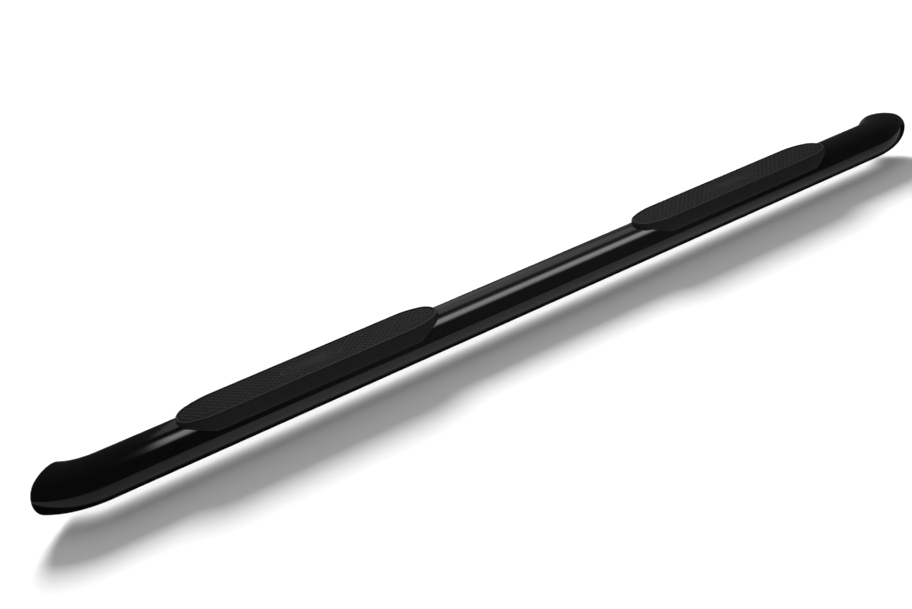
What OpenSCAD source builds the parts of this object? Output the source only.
// Side step bar for a pickup truck: one long oval steel tube with both ends swept
// back towards the vehicle, two moulded step pads clipped on top, moulded end plugs,
// and threaded inserts along the underside for the vehicle brackets.
//
// +X runs along the bar, +Y points to the vehicle, +Z is up. The origin is the centre
// of the middle pair of inserts, on the plane where the bracket seats.

/* [Tube] */
// Width of the oval section, across the bar
tube_w = 102; // [96:1:110]
// Height of the oval section
tube_h = 76; // [74:1:84]
// Radius of the rounded front and back of the section
nose_r = 36; // [32:1:36]
// Thickness of the steel
tube_wall = 2; // [1.5:0.1:3]
// Length of the straight stretch between the bends
straight_l = 1790; // [1700:10:2000]
// Radius of each end bend, to the centre line
bend_r = 136; // [110:1:180]
// Angle of each end bend
bend_angle = 40; // [25:1:50]
// Diameter of the water drain holes
drain_d = 8; // [5:0.5:10]

/* [Step pads] */
// Distance from the middle of the bar to the centre of each pad
pad_x = 495; // [470:1:540]
// Length of the tread
pad_l = 516; // [440:2:560]
// Width of the tread
pad_w = 84; // [78:1:86]
// Length of each rounded end of the tread
pad_end_l = 72; // [64:1:80]
// Radius at the very tip of the tread
pad_tip_r = 33; // [28:1:36]
// Height of the tread's rim above the top of the tube
pad_rise = 7.6; // [7:0.1:12]
// Thickness of the skirt and of the tread plate
pad_wall = 3; // [2.4:0.1:3.4]
// How far the skirt leans out below the rim
skirt_flare = 6; // [4:0.5:7]
// Height of the skirt's lower edge above the middle of the tube
skirt_z = 16; // [15:0.5:20]
// Width of the raised rim round the tread
rim_w = 4; // [3:0.5:5]
// Height of the rim above the tread plate
rim_h = 1.2; // [0.6:0.1:1.8]
// Distance between the stiffening ribs under the tread
rib_pitch = 23; // [20:1:46]
// Number of push-in clips under each pad
clips_per_pad = 5; // [3:2:5]
// Distance between neighbouring clips
clip_pitch = 92; // [80:1:100]

/* [Inserts] */
// Distance from the middle of the bar to the outer bracket positions
bracket_x = 700; // [600:10:820]
// Distance between the two inserts of a pair
insert_pitch = 60; // [50:1:80]
// Bore of each insert, tapped M8
insert_bore_d = 6.8; // [6.6:0.1:7]
// Length of each insert
insert_l = 18; // [14:1:24]

/* [End plugs] */
// Thickness of the plug's outer plate
cap_plate = 3; // [2:0.5:5]
// Depth of the plug's sleeve inside the tube, short enough to clear the bend
cap_depth = 12; // [8:1:12]
// Thickness of the sleeve
cap_wall = 2.4; // [2:0.1:3]

/* [Hidden] */
$fn = 96;

tube_a = tube_w / 2;
tube_b = tube_h / 2;

// Insert flange, and how far it stands below the tube
flange_d = 14;
flange_t = 1.6;
seat_depth = 0.4;
seat_d = 15;
insert_body_d = 10.8;
insert_hole_d = 11;
collar_d = 14.6;
collar_l = 4;

// Height of the tube's centre line above the bracket plane
tube_z = tube_b + flange_t - seat_depth;
drain_inset = 24;

// Facets round each nose, and along each half crown, of an oval
nose_steps = 24;
crown_steps = 4;

// Step pad, measured from the tube's centre line
pad_b = pad_w / 2;
pad_top = tube_b + pad_rise;
plate_top = pad_top - rim_h;
plate_low = plate_top - pad_wall;
edge_bevel = 1;
pad_mid_l = pad_l - 2 * pad_end_l;
rib_t = 2;
rib_count = floor((pad_mid_l / 2 - rib_t) / rib_pitch);
socket_d = 24;
socket_bore_d = 18.4;

// Push-in clip
clip_hole_d = 8.2;
clip_head_d = 18;
clip_gap = 0.2;
clip_shank_d = 6;
clip_fin_d = 9.4;
clip_fin_t = 1.8;
clip_fins = 4;
clip_fin_pitch = 4;
clip_tip_l = 5;
clip_tip_d = 3;

// How far a solid or a cutter runs past the face that it meets
lap = 1;

// Fit of the plug in the tube: sleeve clearance, crush ribs, and how far ribs stay back
cap_gap = 0.8;
cap_rib_gap = 0.15;
cap_rib_w = 3;
cap_edge = 0.8;
cap_rib_inset = 3;

// Radius of the crown that joins two end arcs of radius r tangentially,
// on an oval with half axes a and b
function crown_r(a, b, r) = ((a - r) * (a - r) + b * b - r * r) / (2 * (b - r));

// Angle of the line through both arc centres, where the crown meets the end arc
function joint_angle(a, b, r) = atan2(crown_r(a, b, r) - b, a - r);

// Points of an arc about centre c, without its last point
function arc(c, r, from, to, steps) =
    [for (i = [0 : steps - 1]) let(t = from + (to - from) * i / steps) c + r * [cos(t), sin(t)]];

// Oval of four tangent arcs with half axes a and b, its two halves moved stretch / 2 outwards
function oval_points(a, b, r, stretch = 0) =
    let(
        big_r = crown_r(a, b, r),
        phi = joint_angle(a, b, r),
        nose = a - r + stretch / 2,
        side = stretch / 2
    )
    concat(
        arc([nose, 0], r, -phi, phi, nose_steps),
        arc([side, b - big_r], big_r, phi, 90, crown_steps),
        stretch > 0 ? [[side, b]] : [],
        arc([-side, b - big_r], big_r, 90, 180 - phi, crown_steps),
        arc([-nose, 0], r, 180 - phi, 180 + phi, nose_steps),
        arc([-side, big_r - b], big_r, 180 + phi, 270, crown_steps),
        stretch > 0 ? [[-side, -b]] : [],
        arc([side, big_r - b], big_r, 270, 360 - phi, crown_steps)
    );

// Outline of the tube's section, made smaller all round by inset
function tube_points(inset = 0) = oval_points(tube_a - inset, tube_b - inset, nose_r - inset);

module tube_ring() {
    difference() {
        polygon(tube_points());
        polygon(tube_points(tube_wall));
    }
}

// Stands a section up and runs it along +X
module along_x(length) {
    rotate([90, 0, 90]) linear_extrude(height = length) children();
}

// Moves a piece that starts at the origin and runs along +X to the right end of the tube
module at_right_end() {
    translate([
        straight_l / 2 + bend_r * sin(bend_angle),
        bend_r * (1 - cos(bend_angle)),
        tube_z
    ])
        rotate([0, 0, bend_angle]) children();
}

// Bend at the right end, cut square
module swept_end() {
    translate([straight_l / 2, bend_r, tube_z])
        rotate([0, 0, -90])
            rotate_extrude(angle = bend_angle) translate([bend_r, 0]) tube_ring();
}

// Centres of a pad's clips along the bar
function clip_places(x) =
    [for (i = [0 : clips_per_pad - 1]) x + (i - (clips_per_pad - 1) / 2) * clip_pitch];

// Centres of the pair of inserts at one bracket
function insert_places(x) = [x - insert_pitch / 2, x + insert_pitch / 2];

module main_tube() {
    color("#0c0c0d")
    difference() {
        union() {
            translate([-straight_l / 2, 0, tube_z]) along_x(straight_l) tube_ring();
            swept_end();
            mirror([1, 0, 0]) swept_end();
        }
        for (x = concat(clip_places(-pad_x), clip_places(pad_x)))
            translate([x, 0, tube_z]) cylinder(d = clip_hole_d, h = tube_h);
        for (x = concat(insert_places(-bracket_x), insert_places(0), insert_places(bracket_x)))
            translate([x, 0, 0]) {
                cylinder(d = insert_hole_d, h = tube_z);
                cylinder(d = seat_d, h = flange_t);
            }
        for (side = [-1, 1])
            translate([side * (straight_l / 2 - drain_inset), 0, 0]) cylinder(d = drain_d, h = tube_z);
    }
}

// Two upright ribs across the section, each w wide
module cap_uprights(w) {
    for (y = [-tube_a / 3, tube_a / 3])
        translate([y, 0]) square([w, tube_h], center = true);
}

// Ribs of the plug: a cross web inside the sleeve, and crush ribs outside it
module cap_ribs(sleeve) {
    intersection() {
        polygon(tube_points(sleeve + cap_wall / 2));
        union() {
            square([tube_w, cap_wall], center = true);
            cap_uprights(cap_wall);
        }
    }
    difference() {
        intersection() {
            polygon(tube_points(tube_wall + cap_rib_gap));
            cap_uprights(cap_rib_w);
        }
        polygon(tube_points(sleeve + cap_wall / 2));
    }
}

// Moulded plug for an open tube end: outer plate with a stepped edge, sleeve and ribs
module cap_at_right() {
    sleeve = tube_wall + cap_gap;
    at_right_end() {
        along_x(cap_plate - cap_edge) polygon(tube_points());
        translate([cap_plate - cap_edge, 0, 0]) along_x(cap_edge) polygon(tube_points(cap_edge));
        translate([-cap_depth, 0, 0])
            along_x(cap_depth)
                difference() {
                    polygon(tube_points(sleeve));
                    polygon(tube_points(sleeve + cap_wall));
                }
        translate([-cap_depth + cap_rib_inset, 0, 0])
            along_x(cap_depth - cap_rib_inset) cap_ribs(sleeve);
    }
}

module end_cap_left() {
    color("#161617") mirror([1, 0, 0]) cap_at_right();
}

module end_cap_right() {
    color("#161617") cap_at_right();
}

// Outline of the tread, made smaller all round by inset
function tread_points(inset) =
    oval_points(pad_end_l - inset, pad_b - inset, pad_tip_r - inset, pad_mid_l);

// Solid through tread outlines, each given as [height, inset], from low to high
module tread_stack(levels) {
    count = len(tread_points(0));
    polyhedron(
        points = [for (l = levels) for (p = tread_points(l[1])) [p[0], p[1], l[0]]],
        faces = concat(
            [[for (i = [0 : count - 1]) i]],
            [
                for (k = [1 : len(levels) - 1])
                    for (i = [0 : count - 1])
                        let(j = (i + 1) % count, low = (k - 1) * count, high = k * count)
                            [low + j, low + i, high + i, high + j]
            ],
            [[for (i = [count - 1 : -1 : 0]) (len(levels) - 1) * count + i]]
        )
    );
}

// Outside of the pad: leaning skirt, then a bevel up to the rim
module pad_outside() {
    tread_stack([[skirt_z, -skirt_flare], [pad_top - edge_bevel, 0], [pad_top, edge_bevel]]);
}

// Hollow under the tread plate, and the recess inside the rim
module pad_hollow() {
    lean = skirt_flare / (pad_top - edge_bevel - skirt_z);
    tread_stack([
        [skirt_z - lap, pad_wall - skirt_flare - lap * lean],
        [plate_low, pad_wall - lean * (pad_top - edge_bevel - plate_low)]
    ]);
    translate([0, 0, plate_top]) linear_extrude(height = pad_rise) polygon(tread_points(rim_w));
}

// One stiffening rib across the inside of the pad, down to the tube
module rib() {
    translate([-rib_t / 2, 0, 0])
        along_x(rib_t)
            polygon([
                [-pad_b + rim_w, plate_low + lap],
                [pad_b - rim_w, plate_low + lap],
                [pad_b + skirt_flare / 2 - pad_wall / 2, (plate_low + skirt_z) / 2],
                [-pad_b - skirt_flare / 2 + pad_wall / 2, (plate_low + skirt_z) / 2]
            ]);
}

// Moulded pad with its centre at x = 0, cut to sit on the tube
module step_pad() {
    difference() {
        union() {
            difference() {
                pad_outside();
                pad_hollow();
            }
            for (i = [-rib_count : rib_count])
                translate([i * rib_pitch, 0, 0]) rib();
            for (x = clip_places(0))
                translate([x, 0, tube_b / 2]) cylinder(d = socket_d, h = plate_low + lap - tube_b / 2);
        }
        translate([-pad_l, 0, 0]) along_x(2 * pad_l) polygon(tube_points());
        for (x = clip_places(0))
            translate([x, 0, 0]) cylinder(d = socket_bore_d, h = plate_low);
    }
}

module step_pad_left() {
    color("#2b2b2c") translate([-pad_x, 0, tube_z]) step_pad();
}

module step_pad_right() {
    color("#2b2b2c") translate([pad_x, 0, tube_z]) step_pad();
}

// Push-in clip: a flat head held in the pad's socket, and a finned shank in the tube
module pad_clip() {
    head_low = tube_b + clip_gap;
    wall_inside = tube_b - tube_wall;
    fins_end = wall_inside - clip_fins * clip_fin_pitch;
    translate([0, 0, head_low]) cylinder(d = clip_head_d, h = plate_low - clip_gap - head_low);
    translate([0, 0, fins_end]) cylinder(d = clip_shank_d, h = head_low - fins_end);
    for (i = [1 : clip_fins])
        translate([0, 0, wall_inside - (i - 1) * clip_fin_pitch - clip_fin_t])
            cylinder(d1 = clip_shank_d, d2 = clip_fin_d, h = clip_fin_t);
    translate([0, 0, fins_end - clip_tip_l])
        cylinder(d1 = clip_tip_d, d2 = clip_shank_d, h = clip_tip_l);
}

module pad_clips(x) {
    color("#1d1d1e")
    for (place = clip_places(x))
        translate([place, 0, tube_z]) pad_clip();
}

module pad_clips_left() {
    pad_clips(-pad_x);
}

module pad_clips_right() {
    pad_clips(pad_x);
}

// Threaded insert: flange under the tube, body through the wall, crimped collar inside
module insert() {
    difference() {
        union() {
            cylinder(d = flange_d, h = flange_t);
            cylinder(d = insert_body_d, h = insert_l);
            translate([0, 0, flange_t + tube_wall]) cylinder(d = collar_d, h = collar_l);
        }
        translate([0, 0, -lap]) cylinder(d = insert_bore_d, h = insert_l + 2 * lap);
    }
}

module inserts(x) {
    color("#b9b39a")
    for (place = insert_places(x))
        translate([place, 0, 0]) insert();
}

module inserts_left() {
    inserts(-bracket_x);
}

module inserts_middle() {
    inserts(0);
}

module inserts_right() {
    inserts(bracket_x);
}

main_tube();
end_cap_left();
end_cap_right();
step_pad_left();
step_pad_right();
pad_clips_left();
pad_clips_right();
inserts_left();
inserts_middle();
inserts_right();
